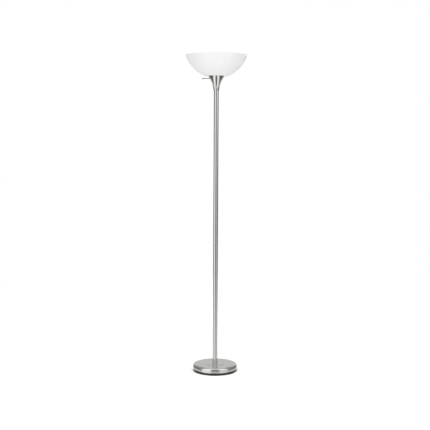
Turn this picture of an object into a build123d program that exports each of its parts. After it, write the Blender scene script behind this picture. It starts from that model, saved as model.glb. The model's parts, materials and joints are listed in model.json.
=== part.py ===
"""Torchiere floor lamp: a weighted round base, a four-piece tubular pole, a trumpet-shaped
cup that hides the lamp holder, and an open frosted glass bowl that throws the light upwards.

Frame: +Z up, origin on the floor at the centre of the base, millimetres. The pole's axis is
the Z axis, and the switch knob points along -X. The supply cord would leave at the back, +Y.
Each sub-part is one function that returns its solids, and NODES lists them by name.
"""

import math
import os

from build123d import *

# ---------------------------------------------------------------- driving dimensions
LAMP_HEIGHT = 1778.0  # 70 in, floor to rim of the bowl
SHADE_DIAMETER = 342.9  # 13.5 in
BASE_DIAMETER = 250.0
BASE_HEIGHT = 41.0
POLE_DIAMETER = 27.0
POLE_SECTIONS = 4

# glass bowl
SHADE_DEPTH = 115.0
SHADE_WALL = 3.5
SHADE_SPHERE_RADIUS = 179.75
SHADE_HOLE_RADIUS = 18.6
SHADE_BOTTOM_BLEND = 30.0
SHADE_BOTTOM_Z = LAMP_HEIGHT - SHADE_DEPTH
SHADE_FLOOR_Z = SHADE_BOTTOM_Z + SHADE_WALL

# trumpet cup under the bowl
TRUMPET_HEIGHT = 80.5
TRUMPET_TOP_RADIUS = 46.5
TRUMPET_MID_RADIUS = 25.8
TRUMPET_MID_HEIGHT = 44.7
TRUMPET_NECK_RADIUS = 15.8
TRUMPET_WALL = 1.2
TRUMPET_TOP_Z = SHADE_BOTTOM_Z
TRUMPET_BOTTOM_Z = TRUMPET_TOP_Z - TRUMPET_HEIGHT
NECK_OVERLAP = 8.0  # how far the neck slides down over the pole
NECK_SLEEVE = 2.5  # straight part of the neck below the flare

# weighted base
COVER_SHEET = 1.0
COVER_BOTTOM_Z = 12.5
COVER_SHOULDER_Z = 27.5
COVER_SHOULDER_RADIUS = 111.0
COVER_LIP_RADIUS = 118.5
COVER_TOP_FALL = 1.5  # the top sheet falls this much from the centre disc to the shoulder
COVER_FOOT_ROLL = 2.0
BEAD_WIDTH = 2.4  # rolled groove between the shoulder and the skirt
BEAD_DEPTH = 0.9
CENTRE_DISC_RADIUS = 51.0
CENTRE_DISC_STEP = 1.4
STEP_WIDTH = 6.0
TRAY_RADIUS = 122.5
FELT_THICKNESS = 1.5
FELT_MARGIN = 0.8  # how far the felt's edge stays inside the tray's
TRAY_FLOOR = 3.0
TRAY_WALL = 3.0
TRAY_RIBS = 6
WEIGHT_RADIUS = 112.0
WEIGHT_BOTTOM_Z = 16.0
WEIGHT_TOP_Z = 30.0
WEIGHT_HUB_RADIUS = 28.0
NUT_POCKET_RADIUS = 15.5
NUT_POCKET_TOP_Z = 28.0
TRAY_SCREW_CIRCLE = 88.0
TRAY_SCREWS = 3
TRAY_HEAD_SINK = 2.2  # how deep the tray's screw heads sit above the felt
CORD_NOTCH_WIDTH = 12.0
CORD_NOTCH_DEPTH = 14.0

# stud, nut and washers under the weight
NUT_FLATS = 17.0
NUT_HEIGHT = 5.5
LOCK_WASHER_RADIUS = 9.0
LOCK_WASHER_HEIGHT = 1.3
BASE_NUT_Z = 19.5
BASE_STUD_Z = BASE_NUT_Z - 1.5

# bushing for the supply cord, in the skirt at the back
GLAND_Z = 19.0
GLAND_BARREL = 4.2
GLAND_THROAT = 3.5  # wide bore inside the skirt
GLAND_BORE = 3.0  # narrow bore of the nozzle that holds the cord
GLAND_FLANGE = 5.6
GLAND_LIP = 5.0
GLAND_NOZZLE = 8.0  # how far the nozzle stands out behind the skirt

# terminal block on the tray's floor
SPLICE_Y = 62.0
SPLICE_LENGTH = 22.0
SPLICE_WIDTH = 17.0
SPLICE_HEIGHT = 9.5
SPLICE_WAY_X = 4.2  # sideways place of each of its two wire ways
SPLICE_SCREW_Y = 6.5
SPLICE_WAY_RISE = 4.5

# pole
TUBE_WALL = 1.0
BUSH_LENGTH = 14.0
BUSH_RECESS = 0.2
STUD_RADIUS = 5.0  # M10 x 1 hollow all-thread
STUD_BORE = 3.4
STUD_LENGTH = 24.0
THREAD_PITCH = 1.0
THREAD_DEPTH = 0.3
FIT = 0.05  # radial play of a fitted part
POLE_TOP_Z = TRUMPET_BOTTOM_Z + NECK_OVERLAP
SECTION_LENGTH = (POLE_TOP_Z - BASE_HEIGHT) / POLE_SECTIONS

# lamp holder with its rotary switch
SWITCH_Z = TRUMPET_TOP_Z - 14.0
HOLDER_RADIUS = 18.0
HOLDER_BORE = 16.3
HOLDER_BOTTOM_Z = SWITCH_Z - 15.0
HOLDER_TOP_Z = SWITCH_Z + 30.0
CORE_RADIUS = 16.2
CORE_BOTTOM_Z = SWITCH_Z - 18.0
CORE_TOP_Z = SWITCH_Z + 7.0
CAP_NECK_Z = SWITCH_Z - 43.0
CAP_SHOULDER_Z = SWITCH_Z - 36.0
CAP_NECK_RADIUS = 8.5
CAP_WALL = 1.6
HEAD_STUD_TOP_Z = CAP_SHOULDER_Z + 3.0
NECK_WASHER = 2.0
RING_RADIUS = 26.0
GASKET = 1.0
RING_HEIGHT = 6.0

# switch shaft and knob
SHAFT_RADIUS = 2.2
SHAFT_TIP_X = -76.0
KNOB_RADIUS = 3.1
KNOB_TIP_X = -81.0
KNOB_LENGTH = 15.0
ROTOR_RADIUS = 6.0
ROTOR_POCKET_RADIUS = 7.2
ROTOR_HALF_WIDTH = 3.5
SHAFT_HOLE_RADIUS = 3.0
SHAFT_PLAY = 0.08  # running clearance of the shaft in the holder's core
SHAFT_END_X = ROTOR_HALF_WIDTH + 5.0
SHAFT_FLAT_DEPTH = 0.5
SHAFT_FLAT_LENGTH = 8.0
FLUTES = 12

# medium screw base (26 mm) light bulb
BULB_TIP_Z = CORE_TOP_Z + 2.6
BULB_PITCH = 3.629
BULB_CREST = 13.0
BULB_ROOT = 12.4
BULB_TURNS = 5
CAP_FOOT_Z = BULB_TIP_Z + 6.0
CAP_TOP_Z = CAP_FOOT_Z + 20.0
BULB_LENGTH = 106.0
BULB_GLOBE_RADIUS = 30.0
BULB_GLASS = 0.9
STEM_TOP_Z = BULB_TIP_Z + 58.0
SHELL_PLAY = 0.35  # radial play between the bulb's thread and the holder's

# wiring
LEAD_RADIUS = 1.2
LEAD_OFFSET = 1.6
TERMINAL_SCREW_Z = CORE_BOTTOM_Z + 6.0
TERMINAL_FACE_Y = 10.5
TERMINAL_GAP = 2.8  # room for the wire between the face and the screw's head


# ---------------------------------------------------------------- helpers
def turned(*edges):
    """A solid of revolution about Z. The edges close an outline in (radius, height)."""
    return revolve(Plane.XZ * make_face(list(edges)), Axis.Z)


def lathe(*points):
    """A solid of revolution about Z from a closed polygon of (radius, height) corners."""
    return turned(*Polyline(*points, close=True).edges())


def tube(outer, inner, bottom, top):
    """A plain ring or sleeve about Z."""
    return lathe((inner, bottom), (outer, bottom), (outer, top), (inner, top))


def bar(radius, bottom, top, x=0.0, y=0.0):
    """A round bar parallel to Z."""
    return Pos(x, y, (bottom + top) / 2) * Cylinder(radius, top - bottom)


def cross_bar(radius, x_from, x_to, z):
    """A round bar parallel to X."""
    middle = (x_from + x_to) / 2
    return Pos(middle, 0, z) * Rot(0, 90, 0) * Cylinder(radius, abs(x_to - x_from))


def around(solid, count, start=0.0):
    """The same solid repeated round the Z axis."""
    return [Rot(0, 0, start + i * 360 / count) * solid for i in range(count)]


def thread_points(radius, depth, pitch, bottom, top):
    """Corners of a ridged wall, (radius, height), from bottom to top."""
    count = int((top - bottom) / pitch)
    first = bottom + ((top - bottom) - count * pitch) / 2
    corners = [(radius, bottom)]
    for i in range(count):
        corners.append((radius, first + i * pitch + pitch * 0.1))
        corners.append((radius - depth, first + (i + 0.5) * pitch))
    corners.append((radius, first + count * pitch - pitch * 0.1))
    corners.append((radius, top))
    return corners


def hollow_stud(bottom, top):
    """A length of hollow threaded rod."""
    wall = thread_points(STUD_RADIUS, THREAD_DEPTH, THREAD_PITCH, bottom, top)
    return lathe((STUD_BORE, bottom), *wall, (STUD_BORE, top))


def hex_nut(bottom):
    """A hexagon nut on the stud, with its corners turned off."""
    flat = NUT_FLATS / 2
    corner = NUT_FLATS / math.sqrt(3)
    top = bottom + NUT_HEIGHT
    bevel = (corner - flat) * 0.6
    blank = Pos(0, 0, bottom) * extrude(RegularPolygon(corner, 6), NUT_HEIGHT)
    turned_shape = lathe(
        (0, bottom),
        (flat, bottom),
        (corner, bottom + bevel),
        (corner, top - bevel),
        (flat, top),
        (0, top),
    )
    return (blank & turned_shape) - bar(STUD_RADIUS + FIT, bottom - 1, top + 1)


def split_washer(bottom):
    """A spring lock washer with its slanting gap."""
    top = bottom + LOCK_WASHER_HEIGHT
    middle = (bottom + top) / 2
    reach = 2 * LOCK_WASHER_RADIUS
    gap = Pos(LOCK_WASHER_RADIUS, 0, middle) * Rot(30, 0, 0) * Box(reach, 1.2, 4 * LOCK_WASHER_HEIGHT)
    return tube(LOCK_WASHER_RADIUS, STUD_RADIUS + 2 * FIT, bottom, top) - gap


def pan_screw(head_radius, head_height, shank_radius, shank_length):
    """A slotted pan-head screw, head up, its head's underside at the origin."""
    head = Pos(0, 0, head_height / 2) * Cylinder(head_radius, head_height)
    head = fillet(head.edges().sort_by(Axis.Z)[-1], head_height * 0.45)
    shank = Pos(0, 0, -shank_length / 2) * Cylinder(shank_radius, shank_length)
    slot = Pos(0, 0, head_height) * Box(3 * head_radius, head_radius * 0.3, head_height)
    return head + shank - slot


def lead(*points, radii):
    """A round insulated wire that follows straight runs joined by arcs."""
    route = FilletPolyline(*points, radius=radii)
    start = Plane(route @ 0, z_dir=route % 0)
    return sweep(start * Circle(LEAD_RADIUS), path=route)


# ---------------------------------------------------------------- base
def cover_skin(inset):
    """The cover's outline from the centre hole to the foot, moved inwards by the inset."""
    top = BASE_HEIGHT - inset
    low = top - CENTRE_DISC_STEP
    shoulder = top - COVER_TOP_FALL
    wall = BASE_DIAMETER / 2 - inset
    roll = COVER_FOOT_ROLL - inset
    foot = COVER_BOTTOM_Z + inset
    flat = Line((STUD_RADIUS + 0.5, top), (CENTRE_DISC_RADIUS, top))
    step = Spline(flat @ 1, (CENTRE_DISC_RADIUS + STEP_WIDTH, low), tangents=((1, 0), (1, 0)))
    crown = Line(step @ 1, (COVER_SHOULDER_RADIUS, shoulder))
    bend = Spline(crown @ 1, (wall, COVER_SHOULDER_Z), tangents=(crown % 1, (0, -1)))
    bead = ThreePointArc(
        bend @ 1,
        (wall - BEAD_DEPTH, COVER_SHOULDER_Z - BEAD_WIDTH / 2),
        (wall, COVER_SHOULDER_Z - BEAD_WIDTH),
    )
    side = Line(bead @ 1, (wall, foot + roll))
    corner = RadiusArc(side @ 1, (wall - roll, foot), roll)
    lip = Line(corner @ 1, (COVER_LIP_RADIUS, foot))
    return [flat, step, crown, bend, bead, side, corner, lip]


def base_cover():
    """Spun sheet-metal cover with a raised centre disc, a soft shoulder and a turned-in foot."""
    outer = cover_skin(0.0)
    inner = cover_skin(COVER_SHEET)
    ends = [
        Line(outer[0] @ 0, inner[0] @ 0),
        Line(outer[-1] @ 1, inner[-1] @ 1),
    ]
    shell = turned(*outer, *inner, *ends)
    cord_hole = Pos(0, BASE_DIAMETER / 2, GLAND_Z) * Rot(90, 0, 0) * Cylinder(GLAND_BARREL + 0.1, 20)
    return shell - cord_hole


def cord_gland():
    """Snap-in strain relief for the supply cord at the back of the base, with a tapered nozzle."""
    wall = BASE_DIAMETER / 2
    profile = [
        (GLAND_THROAT, -3.5),
        (GLAND_BARREL - 0.2, -3.5),
        (GLAND_LIP, -2.2),
        (GLAND_LIP, -1.4),
        (GLAND_BARREL, -1.4),
        (GLAND_BARREL, 0.0),
        (GLAND_FLANGE, 0.0),
        (GLAND_FLANGE, 1.2),
        (GLAND_FLANGE - 0.8, 2.5),
        (GLAND_BORE + 1.0, GLAND_NOZZLE),
        (GLAND_BORE, GLAND_NOZZLE),
        (GLAND_BORE, 1.0),
        (GLAND_THROAT, 0.5),
    ]
    return Pos(0, wall, GLAND_Z) * Rot(-90, 0, 0) * lathe(*profile)


def base_weight():
    """Cast-iron disc with a hub that carries cover and pole, notched at the back for the cord."""
    hub_top = BASE_HEIGHT - COVER_SHEET
    plate = lathe(
        (STUD_RADIUS + 0.4, NUT_POCKET_TOP_Z),
        (NUT_POCKET_RADIUS, NUT_POCKET_TOP_Z),
        (NUT_POCKET_RADIUS, WEIGHT_BOTTOM_Z),
        (WEIGHT_RADIUS - 2, WEIGHT_BOTTOM_Z),
        (WEIGHT_RADIUS, WEIGHT_BOTTOM_Z + 2),
        (WEIGHT_RADIUS, WEIGHT_TOP_Z - 3),
        (WEIGHT_RADIUS - 3, WEIGHT_TOP_Z),
        (WEIGHT_HUB_RADIUS + 4, WEIGHT_TOP_Z),
        (WEIGHT_HUB_RADIUS, WEIGHT_TOP_Z + 3),
        (WEIGHT_HUB_RADIUS, hub_top),
        (STUD_RADIUS + 0.4, hub_top),
    )
    pilot = bar(1.4, WEIGHT_BOTTOM_Z - 1, WEIGHT_BOTTOM_Z + 9, x=TRAY_SCREW_CIRCLE)
    for hole in around(pilot, TRAY_SCREWS, 30):
        plate -= hole
    notch = Box(CORD_NOTCH_WIDTH, 2 * CORD_NOTCH_DEPTH, 2 * WEIGHT_TOP_Z)
    notch = fillet(notch.edges().filter_by(Axis.Z), CORD_NOTCH_WIDTH / 2 - 0.5)
    return plate - Pos(0, WEIGHT_RADIUS, WEIGHT_TOP_Z) * notch


def base_tray():
    """Black moulded tray: the dark foot of the lamp, ribbed inside to carry the weight."""
    floor_z = FELT_THICKNESS
    tray = lathe(
        (0, floor_z),
        (TRAY_RADIUS - 0.5, floor_z),
        (TRAY_RADIUS, floor_z + 0.5),
        (TRAY_RADIUS, COVER_BOTTOM_Z),
        (TRAY_RADIUS - TRAY_WALL, COVER_BOTTOM_Z),
        (TRAY_RADIUS - TRAY_WALL, floor_z + TRAY_FLOOR),
        (0, floor_z + TRAY_FLOOR),
    )
    rib_height = WEIGHT_BOTTOM_Z - floor_z - TRAY_FLOOR
    rib_middle = floor_z + TRAY_FLOOR + rib_height / 2
    rib = Pos((40 + WEIGHT_RADIUS) / 2, 0, rib_middle) * Box(WEIGHT_RADIUS - 40, 2.5, rib_height)
    boss = bar(5.0, floor_z + TRAY_FLOOR, WEIGHT_BOTTOM_Z, x=TRAY_SCREW_CIRCLE)
    for piece in around(rib, TRAY_RIBS) + around(boss, TRAY_SCREWS, 30):
        tray += piece
    shank = bar(1.8, floor_z - 1, WEIGHT_BOTTOM_Z + 1, x=TRAY_SCREW_CIRCLE)
    head = bar(4.0, floor_z - 1, floor_z + TRAY_HEAD_SINK, x=TRAY_SCREW_CIRCLE)
    for hole in around(shank, TRAY_SCREWS, 30) + around(head, TRAY_SCREWS, 30):
        tray -= hole
    return tray


def tray_screws():
    """Self-tapping screws that hold the tray up against the weight."""
    seat = FELT_THICKNESS + TRAY_HEAD_SINK
    screw = pan_screw(3.6, 1.9, 1.35, WEIGHT_BOTTOM_Z + 8 - seat)
    hung = Pos(TRAY_SCREW_CIRCLE, 0, seat) * Rot(180, 0, 0) * screw
    return around(hung, TRAY_SCREWS, 30)


def felt_pad():
    """Thin felt disc glued under the tray, the face that the lamp stands on."""
    return bar(TRAY_RADIUS - FELT_MARGIN, 0, FELT_THICKNESS)


def base_lock_washer():
    """Spring washer between the nut and the flat washer under the weight."""
    return split_washer(BASE_NUT_Z + NUT_HEIGHT)


def base_washer():
    """Broad flat washer against the top of the weight's pocket."""
    bottom = BASE_NUT_Z + NUT_HEIGHT + LOCK_WASHER_HEIGHT
    return tube(NUT_POCKET_RADIUS - 1.5, STUD_RADIUS + 0.3, bottom, NUT_POCKET_TOP_Z)


def base_nut():
    """Nut that pulls pole, cover and weight together."""
    return hex_nut(BASE_NUT_Z)


def base_stud():
    """Hollow stud from the lowest bush of the pole through cover and weight."""
    return hollow_stud(BASE_STUD_Z, BASE_HEIGHT + BUSH_RECESS + BUSH_LENGTH - 2)


def splice_block():
    """Two-way screw terminal block where the supply cord meets the lamp's own leads."""
    bottom = FELT_THICKNESS + TRAY_FLOOR
    way_z = bottom + SPLICE_WAY_RISE
    top = bottom + SPLICE_HEIGHT
    body = Pos(0, SPLICE_Y, (bottom + top) / 2) * Box(SPLICE_WIDTH, SPLICE_LENGTH, SPLICE_HEIGHT)
    body = fillet(body.edges().filter_by(Axis.Z), 1.5)
    for x in (-SPLICE_WAY_X, SPLICE_WAY_X):
        body -= Pos(x, SPLICE_Y, way_z) * Rot(90, 0, 0) * Cylinder(1.6, 2 * SPLICE_LENGTH)
        for y in (SPLICE_Y - SPLICE_SCREW_Y, SPLICE_Y + SPLICE_SCREW_Y):
            body -= bar(1.9, way_z, top + 1, x, y)
    return body


def splice_screws():
    """The block's four clamp screws."""
    top = FELT_THICKNESS + TRAY_FLOOR + SPLICE_HEIGHT - 1.1
    screws = []
    for x in (-SPLICE_WAY_X, SPLICE_WAY_X):
        for y in (SPLICE_Y - SPLICE_SCREW_Y, SPLICE_Y + SPLICE_SCREW_Y):
            screws.append(bar(1.7, top - 2.2, top, x, y) - Pos(x, y, top) * Box(4, 0.6, 1.2))
    return screws


# ---------------------------------------------------------------- pole
def pole_tube(index):
    """One section of the pole, counted from the floor, with softened ends."""
    bottom = BASE_HEIGHT + index * SECTION_LENGTH
    top = bottom + SECTION_LENGTH
    outer = POLE_DIAMETER / 2
    inner = outer - TUBE_WALL
    ease = 0.25
    return lathe(
        (inner, bottom),
        (outer - ease, bottom),
        (outer, bottom + ease),
        (outer, top - ease),
        (outer - ease, top),
        (inner, top),
    )


def tube_bush(bottom):
    """Threaded plug fixed in one end of a pole section, waisted to save metal."""
    outer = POLE_DIAMETER / 2 - TUBE_WALL - FIT
    bore = STUD_RADIUS + FIT
    return lathe(
        (bore, bottom),
        (outer, bottom),
        (outer, bottom + 4),
        (outer - 2, bottom + 5),
        (outer - 2, bottom + BUSH_LENGTH - 5),
        (outer, bottom + BUSH_LENGTH - 4),
        (outer, bottom + BUSH_LENGTH),
        (bore, bottom + BUSH_LENGTH),
    )


def lower_bush(index):
    return tube_bush(BASE_HEIGHT + index * SECTION_LENGTH + BUSH_RECESS)


def upper_bush(index):
    return tube_bush(BASE_HEIGHT + (index + 1) * SECTION_LENGTH - BUSH_RECESS - BUSH_LENGTH)


def joint_stud(index):
    """Hollow stud that joins section index to the one above it."""
    seam = BASE_HEIGHT + (index + 1) * SECTION_LENGTH
    return hollow_stud(seam - STUD_LENGTH / 2, seam + STUD_LENGTH / 2)


# ---------------------------------------------------------------- cup and lamp holder
def trumpet_wall(inset):
    """The trumpet's side as an arc from the neck to the mouth."""
    return ThreePointArc(
        (TRUMPET_NECK_RADIUS - inset, TRUMPET_BOTTOM_Z + NECK_SLEEVE),
        (TRUMPET_MID_RADIUS - inset, TRUMPET_BOTTOM_Z + TRUMPET_MID_HEIGHT),
        (TRUMPET_TOP_RADIUS - inset, TRUMPET_TOP_Z),
    )


def trumpet():
    """Spun cup that flares from the pole to the bowl, with a hole for the switch shaft."""
    outer = trumpet_wall(0.0)
    inner = trumpet_wall(TRUMPET_WALL)
    neck_bore = POLE_DIAMETER / 2 + 0.2
    neck = Polyline(
        outer @ 0,
        (TRUMPET_NECK_RADIUS, TRUMPET_BOTTOM_Z + 0.5),
        (TRUMPET_NECK_RADIUS - 0.5, TRUMPET_BOTTOM_Z),
        (neck_bore, TRUMPET_BOTTOM_Z),
        (neck_bore, TRUMPET_BOTTOM_Z + NECK_SLEEVE),
        inner @ 0,
    )
    rim = Line(outer @ 1, inner @ 1)
    cup = turned(outer, rim, inner, *neck.edges())
    return cup - cross_bar(SHAFT_HOLE_RADIUS, -TRUMPET_TOP_RADIUS, -HOLDER_RADIUS - 2, SWITCH_Z)


def trumpet_hollow():
    """The space inside the trumpet, as a solid."""
    inner = trumpet_wall(TRUMPET_WALL)
    ends = Polyline(inner @ 1, (0, TRUMPET_TOP_Z), (0, TRUMPET_BOTTOM_Z + NECK_SLEEVE), inner @ 0)
    return turned(inner, *ends.edges())


def neck_washer():
    """Cone-edged disc on the pole's end that wedges the trumpet's neck in place."""
    disc = tube(TRUMPET_MID_RADIUS, STUD_RADIUS + 0.2, POLE_TOP_Z, POLE_TOP_Z + NECK_WASHER)
    return disc & trumpet_hollow()


def head_lock_washer():
    """Spring washer between the nut and the neck washer."""
    return split_washer(POLE_TOP_Z + NECK_WASHER)


def head_nut():
    """Nut that holds the trumpet down on the pole."""
    return hex_nut(POLE_TOP_Z + NECK_WASHER + LOCK_WASHER_HEIGHT)


def head_stud():
    """Hollow stud from the pole's top bush up into the lamp holder's cap."""
    return hollow_stud(POLE_TOP_Z - BUSH_RECESS - BUSH_LENGTH + 1, HEAD_STUD_TOP_Z)


def cap_screw_axis(radius, y_from, y_to):
    """A round bar along Y through the neck of the holder's cap, for its grub screw."""
    middle = (y_from + y_to) / 2
    return Pos(0, middle, CAP_NECK_Z + 3.2) * Rot(90, 0, 0) * Cylinder(radius, abs(y_to - y_from))


def holder_cap():
    """Cup-shaped lower half of the lamp holder, screwed on the stud."""
    bore = STUD_RADIUS + FIT
    cup_floor = CAP_SHOULDER_Z + 1.5
    cap = lathe(
        (bore, CAP_NECK_Z),
        (CAP_NECK_RADIUS, CAP_NECK_Z),
        (CAP_NECK_RADIUS, CAP_SHOULDER_Z - 1),
        (HOLDER_RADIUS, CAP_SHOULDER_Z + 9),
        (HOLDER_RADIUS, HOLDER_BOTTOM_Z),
        (HOLDER_RADIUS - CAP_WALL, HOLDER_BOTTOM_Z),
        (HOLDER_RADIUS - CAP_WALL, CAP_SHOULDER_Z + 10),
        (CAP_NECK_RADIUS, cup_floor),
        (bore, cup_floor),
    )
    return cap - cap_screw_axis(1.55, -STUD_RADIUS, -CAP_NECK_RADIUS - 1)


def cap_set_screw():
    """Grub screw that stops the holder turning on the stud."""
    tip = -STUD_RADIUS - 0.2
    end = tip - 4.0
    slot = Pos(0, end, CAP_NECK_Z + 3.2) * Box(4, 1.2, 0.5)
    return cap_screw_axis(1.45, tip, end) - slot


def holder_shell():
    """Upper half of the lamp holder, threaded outside for the two shade rings."""
    thread = thread_points(HOLDER_RADIUS, 0.45, 2.0, TRUMPET_TOP_Z - 10, HOLDER_TOP_Z - 1)
    shell = lathe(
        (HOLDER_BORE, HOLDER_BOTTOM_Z),
        (HOLDER_RADIUS, HOLDER_BOTTOM_Z),
        *thread,
        (HOLDER_RADIUS - 0.8, HOLDER_TOP_Z),
        (HOLDER_BORE, HOLDER_TOP_Z),
    )
    return shell - cross_bar(SHAFT_HOLE_RADIUS, -HOLDER_RADIUS - 1, 0, SWITCH_Z)


def holder_core():
    """Moulded body inside the holder: pocket for the switch rotor, recesses for the screws."""
    pocket = ROTOR_HALF_WIDTH + 0.5
    core = bar(CORE_RADIUS, CORE_BOTTOM_Z, CORE_TOP_Z)
    core -= cross_bar(ROTOR_POCKET_RADIUS, -pocket, pocket, SWITCH_Z)
    core -= cross_bar(SHAFT_RADIUS + SHAFT_PLAY, -CORE_RADIUS - 1, SHAFT_END_X + 0.3, SWITCH_Z)
    depth = CORE_RADIUS - TERMINAL_FACE_Y + 1
    channel_height = TERMINAL_SCREW_Z - CORE_BOTTOM_Z + 1
    for side in (-1, 1):
        y = side * (TERMINAL_FACE_Y + depth / 2)
        core -= Pos(0, y, TERMINAL_SCREW_Z) * Rot(90, 0, 0) * Cylinder(4.4, depth)
        core -= Pos(0, y, TERMINAL_SCREW_Z - channel_height / 2) * Box(4.4, depth, channel_height)
        core -= Pos(0, side * TERMINAL_FACE_Y, TERMINAL_SCREW_Z) * Rot(90, 0, 0) * Cylinder(1.6, 8)
    return core


def terminal_screw(side):
    """Binding screw for one lead, on the side wall of the core."""
    screw = pan_screw(3.4, 1.8, 1.5, 5.2)
    head_y = side * (TERMINAL_FACE_Y + TERMINAL_GAP)
    return Pos(0, head_y, TERMINAL_SCREW_Z) * Rot(-90 * side, 0, 0) * screw


def screw_shell():
    """Ridged brass sleeve that takes the bulb's thread."""
    foot, top = CORE_TOP_Z + 0.1, HOLDER_TOP_Z - 2.0
    crest, root = BULB_CREST + SHELL_PLAY, BULB_CREST + SHELL_PLAY + 0.6
    wall = 0.5
    count = int((top - foot - 6) / BULB_PITCH)
    inner = [(crest, foot + wall)]
    for i in range(count):
        z = foot + 5 + i * BULB_PITCH
        inner += [(crest, z), (root, z + BULB_PITCH / 2)]
    inner += [(crest, foot + 5 + count * BULB_PITCH), (crest, top)]
    outer = [(r + wall, z) for r, z in reversed(inner[1:])]
    return lathe((9.5, foot), (crest + wall, foot), *reversed(outer), *reversed(inner), (9.5, foot + wall))


def ring_contact():
    """Raised ring contact for the second filament of a three-way bulb."""
    return tube(8.2, 6.4, CORE_TOP_Z, CORE_TOP_Z + 0.8)


def centre_contact():
    """Sprung brass tongue that meets the tip of the bulb."""
    width, sheet = 4.6, 0.5
    foot = Pos(-2.2, 0, CORE_TOP_Z + sheet / 2) * Box(5.0, width, sheet)
    rise = Pos(-1.0, 0, CORE_TOP_Z + 1.25) * Rot(0, -30, 0) * Box(sheet, width, 1.8)
    crown = Pos(1.0, 0, BULB_TIP_Z - 0.6) * Box(4.4, width, sheet)
    return foot + rise + crown


def shade_ring(bottom):
    """Knurled ring nut that clamps the bowl on the holder's thread."""
    ring = tube(RING_RADIUS, HOLDER_RADIUS + 0.1, bottom, bottom + RING_HEIGHT)
    ring = chamfer(ring.edges().filter_by(GeomType.CIRCLE).group_by(SortBy.RADIUS)[-1], 0.7)
    groove = bar(0.9, bottom - 1, bottom + RING_HEIGHT + 1, x=RING_RADIUS + 0.35)
    for cut in around(groove, 36):
        ring -= cut
    return ring


def lower_ring():
    return shade_ring(SHADE_BOTTOM_Z - GASKET - RING_HEIGHT)


def upper_ring():
    return shade_ring(SHADE_FLOOR_Z + GASKET)


def lower_gasket():
    return tube(RING_RADIUS - 0.5, HOLDER_RADIUS + 0.1, SHADE_BOTTOM_Z - GASKET, SHADE_BOTTOM_Z)


def upper_gasket():
    return tube(RING_RADIUS - 0.5, HOLDER_RADIUS + 0.1, SHADE_FLOOR_Z, SHADE_FLOOR_Z + GASKET)


def bowl_form(radius, bottom, top, blend):
    """A piece of a ball cut off flat below and above, its lower edge blended."""
    centre = LAMP_HEIGHT + math.sqrt(SHADE_SPHERE_RADIUS**2 - (SHADE_DIAMETER / 2) ** 2)
    ball = Pos(0, 0, centre) * Sphere(radius)
    slab = bar(2 * radius, bottom, top)
    form = ball & slab
    return fillet(form.edges().sort_by(Axis.Z)[0], blend)


def shade_glass():
    """Open glass bowl with a flat bottom, a central hole and a rounded rim."""
    outer = bowl_form(SHADE_SPHERE_RADIUS, SHADE_BOTTOM_Z, LAMP_HEIGHT, SHADE_BOTTOM_BLEND)
    inner = bowl_form(
        SHADE_SPHERE_RADIUS - SHADE_WALL, SHADE_FLOOR_Z, LAMP_HEIGHT + 20, SHADE_BOTTOM_BLEND - SHADE_WALL
    )
    bowl = outer - inner - bar(SHADE_HOLE_RADIUS, SHADE_BOTTOM_Z - 1, SHADE_FLOOR_Z + 1)
    rim = bowl.edges().filter_by(GeomType.CIRCLE).group_by(Axis.Z)[-1]
    return fillet(rim, 1.5)


# ---------------------------------------------------------------- switch
def switch_shaft():
    """Rod that turns the switch from outside the cup, with a flat where the knob grips it."""
    shaft = cross_bar(SHAFT_RADIUS, SHAFT_TIP_X, SHAFT_END_X, SWITCH_Z)
    flat_z = SWITCH_Z + SHAFT_RADIUS - SHAFT_FLAT_DEPTH
    flat = Pos(SHAFT_TIP_X + SHAFT_FLAT_LENGTH / 2, 0, flat_z + 1) * Box(SHAFT_FLAT_LENGTH, 6, 2)
    return shaft - flat


def switch_rotor():
    """Four-lobed ratchet wheel on the shaft that makes and breaks the contacts."""
    blank = cross_bar(ROTOR_RADIUS, -ROTOR_HALF_WIDTH, ROTOR_HALF_WIDTH, SWITCH_Z)
    lobe_gap = Pos(0, ROTOR_RADIUS * 1.05, 0) * Rot(0, 90, 0) * Cylinder(2.0, 4 * ROTOR_HALF_WIDTH)
    for angle in range(45, 360, 90):
        blank -= Pos(0, 0, SWITCH_Z) * Rot(angle, 0, 0) * lobe_gap
    return blank - cross_bar(SHAFT_RADIUS, -2 * ROTOR_HALF_WIDTH, 2 * ROTOR_HALF_WIDTH, SWITCH_Z)


def switch_knob():
    """Slim fluted grip on the end of the shaft, with a domed tip."""
    inner_x = KNOB_TIP_X + KNOB_LENGTH
    grip = cross_bar(KNOB_RADIUS, KNOB_TIP_X, inner_x, SWITCH_Z)
    grip = fillet(grip.edges().sort_by(Axis.X)[0], 2.0)
    grip = chamfer(grip.edges().sort_by(Axis.X)[-1], 0.6)
    flute = Pos(KNOB_TIP_X + 6.0, KNOB_RADIUS + 0.25, 0) * Rot(0, 90, 0) * Cylinder(0.45, 6.5)
    for i in range(FLUTES):
        grip -= Pos(0, 0, SWITCH_Z) * Rot(i * 360 / FLUTES, 0, 0) * flute
    grip -= cross_bar(SHAFT_RADIUS + 0.02, SHAFT_TIP_X, inner_x + 1, SWITCH_Z)
    return grip - Pos(inner_x - 3, 0, SWITCH_Z + KNOB_RADIUS) * Cylinder(0.85, 3)


def knob_screw():
    """Grub screw that grips the flat of the shaft."""
    foot = SWITCH_Z + SHAFT_RADIUS - SHAFT_FLAT_DEPTH + 0.05
    return bar(0.8, foot, SWITCH_Z + KNOB_RADIUS - 0.05, x=KNOB_TIP_X + KNOB_LENGTH - 3)


# ---------------------------------------------------------------- bulb
def bulb_contact():
    """Domed tip contact of the bulb."""
    dome = Spline((0, BULB_TIP_Z), (4.6, BULB_TIP_Z + 1.8), tangents=((1, 0), (0, 1)))
    return turned(dome, Line(dome @ 1, (0, BULB_TIP_Z + 1.8)), Line((0, BULB_TIP_Z + 1.8), (0, BULB_TIP_Z)))


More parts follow.
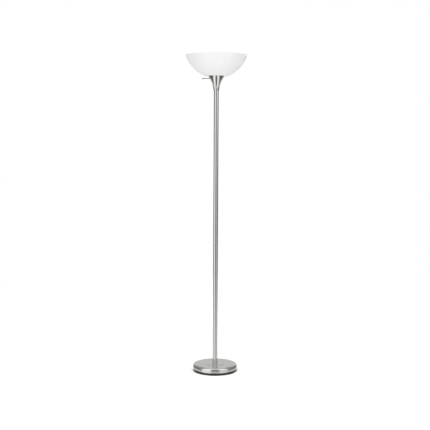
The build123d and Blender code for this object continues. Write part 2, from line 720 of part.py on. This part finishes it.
def bulb_insulator():
    """Black glass collar between tip contact and screw cap."""
    return lathe(
        (0, BULB_TIP_Z + 1.8),
        (5.0, BULB_TIP_Z + 1.8),
        (10.0, CAP_FOOT_Z),
        (10.0, CAP_FOOT_Z + 1.5),
        (0, CAP_FOOT_Z + 1.5),
    )


def bulb_cement():
    """Basing cement that fills the screw cap up to the glass."""
    return bar(BULB_ROOT - 0.55, CAP_FOOT_Z + 1.5, CAP_TOP_Z - 3)


def bulb_cap():
    """Thin ridged screw cap of the bulb."""
    wall = 0.4
    outer = [(BULB_ROOT, CAP_FOOT_Z + 0.8)]
    for i in range(BULB_TURNS):
        z = CAP_FOOT_Z + 1.2 + i * BULB_PITCH
        outer += [(BULB_CREST, z + BULB_PITCH / 2), (BULB_ROOT, z + BULB_PITCH)]
    outer += [(BULB_CREST, CAP_TOP_Z)]
    inner = [(r - wall, z) for r, z in reversed(outer)]
    return lathe((10.1, CAP_FOOT_Z), *outer, *inner, (10.1, CAP_FOOT_Z + wall))


def bulb_outline(inset):
    """Side of the bulb's envelope from the cap's mouth to the crown."""
    neck = BULB_ROOT - 0.5 - inset
    globe = BULB_GLOBE_RADIUS - inset
    globe_z = BULB_TIP_Z + BULB_LENGTH - BULB_GLOBE_RADIUS
    shoulder = globe / math.sqrt(2)
    neck_side = Spline(
        (neck, CAP_TOP_Z - 3),
        (neck + 1.6, CAP_TOP_Z + 6),
        (globe, globe_z),
        tangents=((0, 1), (0, 1)),
    )
    dome = ThreePointArc((globe, globe_z), (shoulder, globe_z + shoulder), (0, globe_z + globe))
    return [neck_side, dome]


def bulb_glass():
    """Thin pear-shaped envelope, open at the neck where it is cemented in the cap."""
    outer = bulb_outline(0.0)
    inner = bulb_outline(BULB_GLASS)
    ends = [Line(outer[0] @ 0, inner[0] @ 0), Line(outer[1] @ 1, inner[1] @ 1)]
    return turned(*outer, *inner, *ends)


def bulb_stem():
    """Glass stem that carries the filament, flared where it is sealed to the bulb's neck."""
    foot_z = CAP_TOP_Z - 3
    flare = Spline((BULB_ROOT - 1.5, foot_z), (2.2, foot_z + 12), tangents=((-1, 1), (0, 1)))
    side = Polyline(
        flare @ 1,
        (2.2, STEM_TOP_Z - 2),
        (3.2, STEM_TOP_Z),
        (0, STEM_TOP_Z),
        (0, foot_z),
        flare @ 0,
    )
    return turned(flare, *side.edges())


def bulb_filament():
    """Two support wires and the coiled filament between them, as one hoop of wire."""
    wire = 0.35
    top = STEM_TOP_Z + 16
    half_span = 11.0
    legs = Polyline(
        (-2.0, 0, STEM_TOP_Z),
        (-2.0, 0, STEM_TOP_Z + 2),
        (-half_span, 0, top),
        (half_span, 0, top),
        (2.0, 0, STEM_TOP_Z + 2),
        (2.0, 0, STEM_TOP_Z),
    )
    start = Plane(legs @ 0, z_dir=legs % 0)
    hoop = sweep(start * Circle(wire), path=legs, transition=Transition.ROUND)
    coil = Pos(0, 0, top) * Rot(0, 90, 0) * Cylinder(0.9, 2 * half_span - 3)
    return hoop + coil


# ---------------------------------------------------------------- wiring
def lead_wire(side):
    """One insulated lead: from the splice block, up the pole, to its binding screw."""
    x = side * LEAD_OFFSET
    way_x = side * SPLICE_WAY_X
    way_z = FELT_THICKNESS + TRAY_FLOOR + SPLICE_WAY_RISE
    block_y = SPLICE_Y - SPLICE_LENGTH / 2
    under_head_y = side * (TERMINAL_FACE_Y + TERMINAL_GAP / 2)
    return lead(
        (way_x, block_y + 3, way_z),
        (way_x, block_y - 20, way_z),
        (x, block_y - 36, way_z),
        (x, 0, way_z),
        (x, 0, HEAD_STUD_TOP_Z + 2),
        (0, under_head_y, CORE_BOTTOM_Z - 3),
        (0, under_head_y, TERMINAL_SCREW_Z - 1.8),
        radii=[40, 40, BASE_STUD_Z - way_z - 0.5, 10, 8],
    )


# ---------------------------------------------------------------- write the parts
NODES = {
    "felt_pad": felt_pad,
    "base_tray": base_tray,
    "tray_screws": tray_screws,
    "base_weight": base_weight,
    "base_cover": base_cover,
    "cord_gland": cord_gland,
    "base_stud": base_stud,
    "base_washer": base_washer,
    "base_lock_washer": base_lock_washer,
    "base_nut": base_nut,
    "splice_block": splice_block,
    "splice_screws": splice_screws,
    "trumpet": trumpet,
    "neck_washer": neck_washer,
    "head_lock_washer": head_lock_washer,
    "head_nut": head_nut,
    "head_stud": head_stud,
    "holder_cap": holder_cap,
    "cap_set_screw": cap_set_screw,
    "holder_shell": holder_shell,
    "holder_core": holder_core,
    "hot_terminal_screw": lambda: terminal_screw(1),
    "neutral_terminal_screw": lambda: terminal_screw(-1),
    "screw_shell": screw_shell,
    "ring_contact": ring_contact,
    "centre_contact": centre_contact,
    "shade_ring_lower": lower_ring,
    "shade_ring_upper": upper_ring,
    "shade_gasket_lower": lower_gasket,
    "shade_gasket_upper": upper_gasket,
    "shade_glass": shade_glass,
    "switch_shaft": switch_shaft,
    "switch_rotor": switch_rotor,
    "switch_knob": switch_knob,
    "knob_screw": knob_screw,
    "bulb_contact": bulb_contact,
    "bulb_insulator": bulb_insulator,
    "bulb_cement": bulb_cement,
    "bulb_cap": bulb_cap,
    "bulb_glass": bulb_glass,
    "bulb_stem": bulb_stem,
    "bulb_filament": bulb_filament,
    "hot_lead": lambda: lead_wire(1),
    "neutral_lead": lambda: lead_wire(-1),
}
for section in range(POLE_SECTIONS):
    NODES[f"pole_tube_{section + 1}"] = lambda i=section: pole_tube(i)
    NODES[f"lower_bush_{section + 1}"] = lambda i=section: lower_bush(i)
    NODES[f"upper_bush_{section + 1}"] = lambda i=section: upper_bush(i)
for seam_number in range(POLE_SECTIONS - 1):
    NODES[f"joint_stud_{seam_number + 1}"] = lambda i=seam_number: joint_stud(i)


def write_parts():
    os.makedirs("parts", exist_ok=True)
    for name, make in NODES.items():
        made = make()
        solids = made if isinstance(made, list) else [made]
        shape = Compound(children=[s for piece in solids for s in piece.solids()])
        export_step(shape, f"parts/{name}.step")


write_parts()
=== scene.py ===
"""Looks of the torchiere floor lamp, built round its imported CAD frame.

Metres, +Z up, the origin on the floor under the pole. The camera stands in front, on -Y.
Every CAD node keeps its own mesh and place, and gets a procedural material by its slot.
"""

import json
import math

import bpy
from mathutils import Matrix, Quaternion, Vector


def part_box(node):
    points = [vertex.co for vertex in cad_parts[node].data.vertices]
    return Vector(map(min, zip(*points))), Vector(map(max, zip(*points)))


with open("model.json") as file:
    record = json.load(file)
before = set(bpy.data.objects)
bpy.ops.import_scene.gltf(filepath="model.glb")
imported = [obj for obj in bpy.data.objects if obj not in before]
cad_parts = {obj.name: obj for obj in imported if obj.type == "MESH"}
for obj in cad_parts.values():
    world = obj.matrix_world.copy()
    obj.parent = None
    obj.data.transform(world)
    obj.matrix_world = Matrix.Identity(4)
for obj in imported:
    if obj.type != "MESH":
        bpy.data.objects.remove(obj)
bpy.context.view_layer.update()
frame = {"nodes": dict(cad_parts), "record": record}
NODES = frame["nodes"]

MM = 0.001
POLE_AXIS = ((0, 0, 1), (0, 0, 0))  # direction and a point on it
SWITCH_Z = (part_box("switch_shaft")[0].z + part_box("switch_shaft")[1].z) / 2
SWITCH_AXIS = ((1, 0, 0), (0, 0, SWITCH_Z))
SWITCH_METAL = ("switch_shaft", "switch_knob")  # nickel pieces turned about the switch's axis

# camera
CAMERA_PLACE = Vector((-0.0039, -4.977, 1.339))
CAMERA_DOWN = math.radians(5.164)
CAMERA_ROLL = math.radians(0.28)
CAMERA_LENS = 74.42
CAMERA_SENSOR = 36.0

# floor
FLOOR_RADIUS = 3.2
FLOOR_DROP = 0.2 * MM  # keeps the floor just clear of the felt
FLOOR_CORNERS = 96

# glass and glow
BOWL_THROUGH = 0.3  # share of the light that the frosted bowl scatters to its other side
BULB_GLOW = 0.3  # kept low, so that the bulb stays visible against the white room
FILAMENT_GLOW = 4.0
LAMP_DROP = 30 * MM  # how far the bulb's light stands below the middle of its envelope

# The room that the metal mirrors, in degrees. Each box of light has its span round the lamp,
# its span up from the horizon and its level. Zero degrees round the lamp is towards the camera.
ROOM_LEVEL = 0.16
BOX_FADE = 5.0  # a box's edge fades over this much to either side
FRONT_BOXES = (
    ((-72, -22), (-100, 62), 1.2),  # softbox on the left
    ((22, 72), (-100, 62), 1.1),  # softbox on the right
    ((16, 76), (-17, -1), -0.6),  # dark gap across the right softbox
)
BACK_BOXES = (
    ((150, 200), (-35, 30), 0.53),  # pale wall behind
    ((171, 200), (30, 62), 0.53),  # narrow strip above it
)
SIDE_WALL_END = (142, 152)  # the side walls stop here, before the wall behind
SIDE_WALL_FOOT = (6, 20)
SIDE_WALL_LEVEL = 0.42
CEILING_EDGE = (56, 66)
CEILING_LEVEL = 0.8
FLOOR_BAND = (-24, -11.5)  # lit floor, mirrored low in the base
FLOOR_BAND_LEVEL = 0.68


# ---------------------------------------------------------------- shader building
class Nodes:
    """A node tree, with short ways to add and join nodes."""

    def __init__(self, tree):
        self.tree = tree

    def add(self, kind, inputs=None, **settings):
        """A node with its settings and inputs; an input is a value or another node's output."""
        node = self.tree.nodes.new("ShaderNode" + kind)
        for key, value in settings.items():
            setattr(node, key, value)
        for key, value in (inputs or {}).items():
            self.feed(node, key, value)
        return node

    def feed(self, node, key, value):
        if isinstance(value, bpy.types.NodeSocket):
            self.tree.links.new(value, node.inputs[key])
        else:
            node.inputs[key].default_value = value

    def vector(self, operation, *values, scale=None):
        node = self.add("VectorMath", operation=operation)
        for i, value in enumerate(values):
            self.feed(node, i, value)
        if scale is not None:
            self.feed(node, "Scale", scale)
        return node.outputs["Value" if operation in ("LENGTH", "DOT_PRODUCT") else "Vector"]

    def math(self, operation, *values):
        node = self.add("Math", operation=operation)
        for i, value in enumerate(values):
            self.feed(node, i, value)
        return node.outputs[0]

    def noise(self, vector, scale, detail=2.0, roughness=0.5, distortion=0.0):
        """Noise with the given number of cells in a metre."""
        inputs = {"Vector": vector, "Scale": scale, "Detail": detail}
        inputs.update({"Roughness": roughness, "Distortion": distortion})
        return self.add("TexNoise", inputs).outputs["Fac"]

    def cells(self, vector, scale, output="Distance"):
        return self.add("TexVoronoi", {"Vector": vector, "Scale": scale}).outputs[output]

    def ramp(self, value, low, high, from_low, from_high, shape):
        inputs = {"Value": value, "From Min": from_low, "From Max": from_high}
        inputs.update({"To Min": low, "To Max": high})
        return self.add("MapRange", inputs, interpolation_type=shape).outputs["Result"]

    def spread(self, value, low, high, from_low=0.3, from_high=0.7):
        """A noise's usual span turned into the span from low to high."""
        return self.ramp(value, low, high, from_low, from_high, "LINEAR")

    def smooth(self, value, low, high, from_low, from_high):
        return self.ramp(value, low, high, from_low, from_high, "SMOOTHSTEP")

    def blend(self, share, first, second, how="MIX"):
        """One colour over another."""
        node = self.add("Mix", data_type="RGBA", blend_type=how)
        self.feed(node, "Factor", share)
        self.feed(node, 6, first)
        self.feed(node, 7, second)
        return node.outputs[2]


class Shader(Nodes):
    """A new material round one Principled shader."""

    def __init__(self, name, **sockets):
        self.material = bpy.data.materials.new(name)
        self.material.use_nodes = True
        super().__init__(self.material.node_tree)
        self.main = self.tree.nodes["Principled BSDF"]
        self.output = self.tree.nodes["Material Output"]
        self.wire(**sockets)

    def place(self):
        """The point being shaded, in the row frame."""
        return self.add("TexCoord").outputs["Object"]

    def relief(self, height, depth, strength=1.0, under=None):
        """A bump of the given depth in metres, laid over another one if there is one."""
        inputs = {"Height": height, "Strength": strength, "Distance": depth}
        if under is not None:
            inputs["Normal"] = under
        return self.add("Bump", inputs).outputs["Normal"]

    def wire(self, **sockets):
        """Gives values or other nodes' outputs to the Principled shader."""
        for socket, value in sockets.items():
            self.feed(self.main, socket.replace("_", " "), value)
        return self.material


def rgb(red, green, blue):
    return (red, green, blue, 1.0)


def grey(level, warmth=0.0):
    return rgb(level * (1 + warmth), level, level * (1 - 2 * warmth))


def turning(shader, axis, streak=1.2 * MM):
    """Coordinates for marks left by turning: they change fast along the profile, slowly round it."""
    direction, origin = axis
    point = shader.vector("SUBTRACT", shader.place(), origin)
    along = shader.vector("DOT_PRODUCT", point, direction)
    spoke = shader.vector("SUBTRACT", point, shader.vector("SCALE", direction, scale=along))
    radius = shader.vector("LENGTH", spoke)
    profile = shader.math("ADD", along, shader.math("MULTIPLY", radius, 0.8))
    around = shader.vector("SCALE", shader.vector("NORMALIZE", spoke), scale=streak)
    return shader.vector("ADD", around, shader.vector("SCALE", direction, scale=profile))


# ---------------------------------------------------------------- materials: metals
def brushed_nickel(name, axis):
    """Satin nickel plate over turned steel: fine marks round the axis, faint bands and smudges."""
    s = Shader(name, Metallic=1.0, Anisotropic=0.2)
    marks = turning(s, axis)
    fine = s.noise(marks, 2600.0, detail=3.0, roughness=0.6)
    bands = s.noise(marks, 190.0, detail=2.0)
    smudge = s.noise(s.place(), 22.0, detail=3.0, distortion=0.4)
    tone = s.blend(s.spread(bands, 0.0, 1.0), rgb(0.61, 0.61, 0.59), rgb(0.65, 0.65, 0.63))
    tone = s.blend(s.spread(smudge, 0.0, 0.25, 0.5, 0.75), tone, rgb(0.59, 0.585, 0.565))
    rough = s.math("ADD", s.spread(fine, 0.12, 0.16), s.spread(smudge, 0.0, 0.03))
    return s.wire(Base_Color=tone, Roughness=rough, Normal=s.relief(fine, 0.0006 * MM, 0.3))


def zinc_steel():
    """Zinc-plated fasteners: a bluish grey with soft spangles."""
    s = Shader("zinc_steel", Metallic=1.0)
    point = s.place()
    spangle = s.cells(point, 900.0, output="Color")
    cloud = s.noise(point, 260.0, detail=4.0)
    tone = s.blend(s.spread(cloud, 0.0, 1.0), rgb(0.55, 0.57, 0.58), rgb(0.70, 0.71, 0.70))
    tone = s.blend(0.12, tone, spangle, "OVERLAY")
    bump = s.relief(s.noise(point, 3200.0, detail=2.0), 0.01 * MM, 0.4)
    return s.wire(Base_Color=tone, Roughness=s.spread(cloud, 0.28, 0.44), Normal=bump)


def cast_iron():
    """Sand-cast iron with a coarse skin and traces of rust."""
    s = Shader("cast_iron", Metallic=0.6)
    point = s.place()
    skin = s.noise(point, 420.0, detail=6.0, roughness=0.65)
    pits = s.cells(point, 240.0)
    rust = s.noise(point, 45.0, detail=5.0)
    tone = s.blend(s.spread(skin, 0.0, 1.0), grey(0.07), grey(0.14, 0.03))
    tone = s.blend(s.spread(rust, 0.0, 0.7, 0.58, 0.72), tone, rgb(0.20, 0.085, 0.04))
    bump = s.relief(skin, 0.35 * MM, 0.8, under=s.relief(pits, 0.2 * MM, 0.5))
    return s.wire(Base_Color=tone, Roughness=s.spread(skin, 0.6, 0.85), Normal=bump)


def brass():
    """Stamped brass, a little tarnished."""
    s = Shader("brass", Metallic=1.0)
    tarnish = s.noise(s.place(), 190.0, detail=4.0)
    tone = s.blend(s.spread(tarnish, 0.0, 1.0), rgb(0.78, 0.56, 0.22), rgb(0.52, 0.34, 0.13))
    bump = s.relief(s.noise(turning(s, POLE_AXIS), 4200.0), 0.006 * MM, 0.5)
    return s.wire(Base_Color=tone, Roughness=s.spread(tarnish, 0.22, 0.45), Normal=bump)


def rolled_aluminium():
    """The bulb's screw cap and its solder tip."""
    s = Shader("bulb_metal", Metallic=1.0)
    rub = s.noise(turning(s, POLE_AXIS, streak=4 * MM), 2400.0, detail=3.0)
    cloud = s.noise(s.place(), 130.0, detail=3.0)
    tone = s.blend(s.spread(cloud, 0.0, 1.0), rgb(0.66, 0.66, 0.64), rgb(0.80, 0.80, 0.78))
    bump = s.relief(rub, 0.01 * MM, 0.5)
    return s.wire(Base_Color=tone, Roughness=s.spread(rub, 0.25, 0.42), Normal=bump)


def white_enamel():
    """Baked white enamel on the two shade rings."""
    s = Shader("ring_enamel", Coat_Weight=0.3, Coat_Roughness=0.15)
    point = s.place()
    dust = s.noise(point, 60.0, detail=4.0)
    tone = s.blend(s.spread(dust, 0.0, 0.5), rgb(0.80, 0.79, 0.76), rgb(0.70, 0.68, 0.63))
    bump = s.relief(s.noise(point, 700.0, detail=2.0), 0.02 * MM, 0.5)
    return s.wire(Base_Color=tone, Roughness=s.spread(dust, 0.28, 0.4), Normal=bump)


def tungsten():
    """The glowing filament with its support wires."""
    s = Shader("filament", Metallic=1.0, Emission_Strength=FILAMENT_GLOW)
    s.material.cycles.emission_sampling = "NONE"
    die = s.noise(s.place(), 3000.0, detail=2.0)
    glow = s.blend(s.spread(die, 0.0, 1.0), rgb(1.0, 0.55, 0.22), rgb(1.0, 0.72, 0.38))
    tone = s.blend(die, grey(0.35, 0.03), grey(0.5, 0.03))
    return s.wire(Base_Color=tone, Emission_Color=glow, Roughness=s.spread(die, 0.3, 0.5))


# ---------------------------------------------------------------- materials: plastics and soft parts
def moulded(name, dark, light, rough=(0.4, 0.55), grain=650.0, depth=0.05 * MM):
    """A moulded material with a fine grain and faint flow marks."""
    s = Shader(name)
    point = s.place()
    flow = s.noise(point, 35.0, detail=3.0, distortion=1.2)
    skin = s.noise(point, grain, detail=4.0, roughness=0.6)
    tone = s.blend(s.spread(flow, 0.0, 1.0), dark, light)
    bump = s.relief(skin, depth, 0.6)
    return s.wire(Base_Color=tone, Roughness=s.spread(skin, *rough), Normal=bump)


def felt():
    """Pressed wool felt: matted fibres with a soft sheen."""
    s = Shader("felt", Sheen_Weight=0.5, Sheen_Roughness=0.6, Roughness=0.95)
    point = s.place()
    fibres = s.noise(point, 900.0, detail=5.0, roughness=0.7, distortion=2.5)
    clumps = s.noise(point, 160.0, detail=3.0, distortion=1.0)
    tone = s.blend(s.spread(fibres, 0.0, 1.0), grey(0.018), grey(0.06))
    tone = s.blend(s.spread(clumps, 0.0, 0.5), tone, grey(0.03))
    return s.wire(Base_Color=tone, Normal=s.relief(fibres, 0.3 * MM, 0.8))


def rubber():
    """Black moulded rubber with a bloom of dust."""
    s = Shader("rubber")
    point = s.place()
    bloom = s.noise(point, 110.0, detail=4.0)
    tone = s.blend(s.spread(bloom, 0.0, 1.0), grey(0.02), grey(0.055))
    bump = s.relief(s.noise(point, 1400.0, detail=3.0), 0.03 * MM, 0.6)
    return s.wire(Base_Color=tone, Roughness=s.spread(bloom, 0.6, 0.8), Normal=bump)


def insulation(name, dark, light):
    """Extruded PVC, drawn out along the lead."""
    s = Shader(name)
    stretched = s.vector("MULTIPLY", s.place(), (1.0, 1.0, 0.04))
    drawn = s.noise(stretched, 2200.0, detail=2.0)
    tone = s.blend(s.spread(s.noise(s.place(), 90.0), 0.0, 1.0), dark, light)
    bump = s.relief(drawn, 0.02 * MM, 0.5)
    return s.wire(Base_Color=tone, Roughness=s.spread(drawn, 0.32, 0.5), Normal=bump)


# ---------------------------------------------------------------- materials: glass
def frosted_glass():
    """White opal glass with an acid-frosted skin. It lets light through and scatters it."""
    s = Shader("frosted_glass", IOR=1.45, Specular_IOR_Level=0.45)
    point = s.place()
    frost = s.noise(point, 1500.0, detail=4.0, roughness=0.65)
    swirl = s.noise(point, 7.0, detail=2.0, distortion=0.4)
    tone = s.blend(s.spread(swirl, 0.0, 1.0), rgb(0.938, 0.952, 0.974), rgb(0.948, 0.96, 0.978))
    bump = s.relief(frost, 0.02 * MM, 0.35)
    s.wire(Base_Color=tone, Roughness=s.spread(frost, 0.38, 0.5), Normal=bump)
    through = s.add("BsdfTranslucent", {"Color": tone, "Normal": bump})
    both = s.add("MixShader", {0: BOWL_THROUGH, 1: s.main.outputs[0], 2: through.outputs[0]})
    s.tree.links.new(both.outputs[0], s.output.inputs["Surface"])
    return s.material


def lit_bulb():
    """Soft white coated bulb, lit: warm, and a little weaker towards its neck."""
    s = Shader("bulb_glass", Roughness=0.25, Emission_Strength=BULB_GLOW)
    s.material.cycles.emission_sampling = "NONE"
    low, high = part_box("bulb_glass")
    height = s.add("SeparateXYZ", {0: s.place()}).outputs["Z"]
    up = s.smooth(height, 0.0, 1.0, low.z, low.z + 0.6 * (high.z - low.z))
    coat = s.noise(s.place(), 180.0, detail=3.0)
    glow = s.blend(up, rgb(0.66, 0.50, 0.36), rgb(1.0, 0.86, 0.70))
    glow = s.blend(s.spread(coat, 0.0, 0.12), glow, rgb(1.0, 0.93, 0.82))
    return s.wire(Base_Color=s.blend(coat, grey(0.82), grey(0.9)), Emission_Color=glow)


def clear_glass():
    """The bulb's inner stem."""
    s = Shader("clear_glass", Transmission_Weight=1.0, IOR=1.5)
    ripple = s.noise(s.place(), 160.0, detail=2.0)
    tone = s.blend(ripple, rgb(0.96, 0.98, 0.97), rgb(1.0, 1.0, 1.0))
    bump = s.relief(ripple, 0.05 * MM, 0.4)
    return s.wire(Base_Color=tone, Roughness=s.spread(ripple, 0.0, 0.04), Normal=bump)


def vitrite():
    """Dark fused glass between the bulb's cap and tip."""
    s = Shader("bulb_collar", Coat_Weight=0.6)
    cloud = s.noise(s.place(), 500.0, detail=3.0, distortion=1.0)
    tone = s.blend(s.spread(cloud, 0.0, 1.0), rgb(0.015, 0.014, 0.03), rgb(0.05, 0.045, 0.075))
    bump = s.relief(cloud, 0.08 * MM, 0.5)
    return s.wire(Base_Color=tone, Roughness=s.spread(cloud, 0.12, 0.25), Normal=bump)


def make_finishes():
    """One material for each material slot of the record."""
    bakelite = (rgb(0.03, 0.022, 0.018), rgb(0.05, 0.037, 0.03), (0.25, 0.4))
    cement = (rgb(0.60, 0.56, 0.48), rgb(0.74, 0.70, 0.62), (0.8, 0.95), 900.0, 0.12 * MM)
    ivory = (rgb(0.62, 0.60, 0.54), rgb(0.72, 0.70, 0.65))
    return {
        "brushed_nickel": brushed_nickel("pole_nickel", POLE_AXIS),
        "frosted_glass": frosted_glass(),
        "black_plastic": moulded("black_plastic", grey(0.022), grey(0.034)),
        "felt": felt(),
        "cast_iron": cast_iron(),
        "zinc_steel": zinc_steel(),
        "rubber": rubber(),
        "ring_metal": white_enamel(),
        "holder_plastic": moulded("holder_plastic", *bakelite),
        "terminal_plastic": moulded("terminal_plastic", *ivory),
        "brass": brass(),
        "bulb_glass": lit_bulb(),
        "clear_glass": clear_glass(),
        "bulb_metal": rolled_aluminium(),
        "bulb_collar": vitrite(),
        "filament": tungsten(),
        "cement": moulded("cement", *cement),
        "lead_black": insulation("lead_black", grey(0.015), grey(0.03)),
        "lead_white": insulation("lead_white", grey(0.62, 0.01), grey(0.72, 0.01)),
    }


def dress_nodes():
    """Every CAD node gets the material of its slot; the switch's marks run round its own axis."""
    finishes = make_finishes()
    switch_nickel = brushed_nickel("switch_nickel", SWITCH_AXIS)
    for entry in frame["record"]["subparts"]:
        name = entry["node"]
        material = switch_nickel if name in SWITCH_METAL else finishes[entry["material_slot"]]
        NODES[name].data.materials.clear()
        NODES[name].data.materials.append(material)


# ---------------------------------------------------------------- camera, floor and light
def make_camera():
    data = bpy.data.cameras.new("camera")
    data.lens = CAMERA_LENS
    data.sensor_width = CAMERA_SENSOR
    camera = bpy.data.objects.new("camera", data)
    bpy.context.scene.collection.objects.link(camera)
    camera.location = CAMERA_PLACE
    forward = Vector((0, math.cos(CAMERA_DOWN), -math.sin(CAMERA_DOWN)))
    roll = Quaternion((0, 0, 1), CAMERA_ROLL)
    camera.rotation_mode = "QUATERNION"
    camera.rotation_quaternion = forward.to_track_quat("-Z", "Y") @ roll
    bpy.context.scene.camera = camera


def make_floor():
    """A round pale studio floor, which neither lights the lamp nor shows in its metal."""
    place = (0, 0, -FLOOR_DROP)
    bpy.ops.mesh.primitive_circle_add(
        vertices=FLOOR_CORNERS, radius=FLOOR_RADIUS, fill_type="NGON", location=place
    )
    floor = bpy.context.object
    floor.name = "studio_floor"
    s = Shader("studio_floor", Roughness=0.9, Specular_IOR_Level=0.1)
    mottle = s.noise(s.place(), 3.0, detail=2.0)
    floor.data.materials.append(s.wire(Base_Color=s.blend(mottle, grey(0.86), grey(0.88))))
    floor.visible_glossy = False
    floor.visible_diffuse = False
    return floor


def room_light(s):
    """How bright the room is along a ray, from the boxes of light, the walls and the ceiling."""
    ray = s.add("SeparateXYZ", {0: s.add("TexCoord").outputs["Generated"]}).outputs
    turn = s.math("ARCTAN2", ray["X"], s.math("MULTIPLY", ray["Y"], -1.0))
    around = s.math("ABSOLUTE", turn)
    rise = s.math("ARCSINE", ray["Z"])

    def fade(value, start, end, span):
        return s.smooth(value, start, end, math.radians(span[0]), math.radians(span[1]))

    def window(value, low, high):
        opened = fade(value, 0.0, 1.0, (low - BOX_FADE, low + BOX_FADE))
        closed = fade(value, 1.0, 0.0, (high - BOX_FADE, high + BOX_FADE))
        return s.math("MULTIPLY", opened, closed)

    light = ROOM_LEVEL
    for angle, boxes in ((turn, FRONT_BOXES), (around, BACK_BOXES)):
        for across, upright, level in boxes:
            box = s.math("MULTIPLY", window(angle, *across), window(rise, *upright))
            light = s.math("ADD", light, s.math("MULTIPLY", box, level))
    side = fade(around, 1.0, 0.0, SIDE_WALL_END)
    side = s.math("MULTIPLY", side, fade(rise, 0.0, SIDE_WALL_LEVEL, SIDE_WALL_FOOT))
    light = s.math("MAXIMUM", light, side)
    light = s.math("ADD", light, fade(rise, 0.0, CEILING_LEVEL, CEILING_EDGE))
    band = s.math("MULTIPLY", window(rise, *FLOOR_BAND), FLOOR_BAND_LEVEL)
    beyond = s.math("MULTIPLY", light, s.math("SUBTRACT", 1.0, band))
    return s.math("ADD", beyond, band)


def make_world():
    """The lamp is lit by the room and mirrors it; the camera itself sees plain white."""
    world = bpy.data.worlds.new("studio")
    bpy.context.scene.world = world
    world.use_nodes = True
    s = Nodes(world.node_tree)
    room = s.add("Background", {"Color": rgb(1.0, 1.0, 0.995), "Strength": room_light(s)})
    backdrop = s.add("Background", {"Color": rgb(1, 1, 1), "Strength": 1.0})
    seen = s.add("LightPath").outputs["Is Camera Ray"]
    both = s.add("MixShader", {0: seen, 1: room.outputs[0], 2: backdrop.outputs[0]})
    output = next(node for node in s.tree.nodes if node.type == "OUTPUT_WORLD")
    s.tree.links.new(both.outputs[0], output.inputs["Surface"])


def add_light(name, kind, target, energy, colour=(1, 1, 1)):
    """A light that falls on one thing alone and doesn't show in metal."""
    data = bpy.data.lights.new(name, kind)
    data.energy = energy
    data.color = colour
    light = bpy.data.objects.new(name, data)
    bpy.context.scene.collection.objects.link(light)
    light.visible_glossy = False
    lit = bpy.data.collections.new(name + "_target")
    lit.objects.link(target)
    light.light_linking.receiver_collection = lit
    return light


def aim(light, spread, tilt, swing=0):
    """Spreads a sun light and leans it from straight above, towards the front and round the pole."""
    light.data.angle = math.radians(spread)
    light.rotation_euler = (math.radians(tilt), 0, math.radians(swing))


def only_target_shades(light):
    light.light_linking.blocker_collection = light.light_linking.receiver_collection


def light_floor(floor):
    """Brings the floor up to the white of the backdrop, all but the lamp's soft shadow."""
    aim(add_light("floor_light", "SUN", floor, 2.0), spread=40, tilt=14)


def light_bowl(bowl):
    """A very broad light from low in front, for the bowl alone."""
    light = add_light("bowl_light", "SUN", bowl, 1.08, (1.0, 0.955, 0.895))
    aim(light, spread=170, tilt=130, swing=6)
    only_target_shades(light)


def light_lamp(bowl):
    """The bulb's warm light on the bowl, from a ball of the bulb's size that isn't seen itself."""
    low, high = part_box("bulb_glass")
    radius = (high.x - low.x) / 2
    light = add_light("lamp_light", "POINT", bowl, 0.18, (1.0, 0.70, 0.40))
    light.data.shadow_soft_size = radius
    light.location = (0, 0, high.z - radius - LAMP_DROP)
    light.visible_camera = False
    light.visible_transmission = False
    only_target_shades(light)


def set_picture():
    scene = bpy.context.scene
    scene.view_settings.view_transform = "Standard"
    scene.view_settings.look = "None"
    scene.cycles.use_denoising = True
    scene.cycles.max_bounces = 10
    scene.cycles.diffuse_bounces = 6
    scene.cycles.caustics_reflective = False
    scene.cycles.caustics_refractive = False


dress_nodes()
make_camera()
make_world()
light_floor(make_floor())
light_bowl(NODES["shade_glass"])
light_lamp(NODES["shade_glass"])
set_picture()
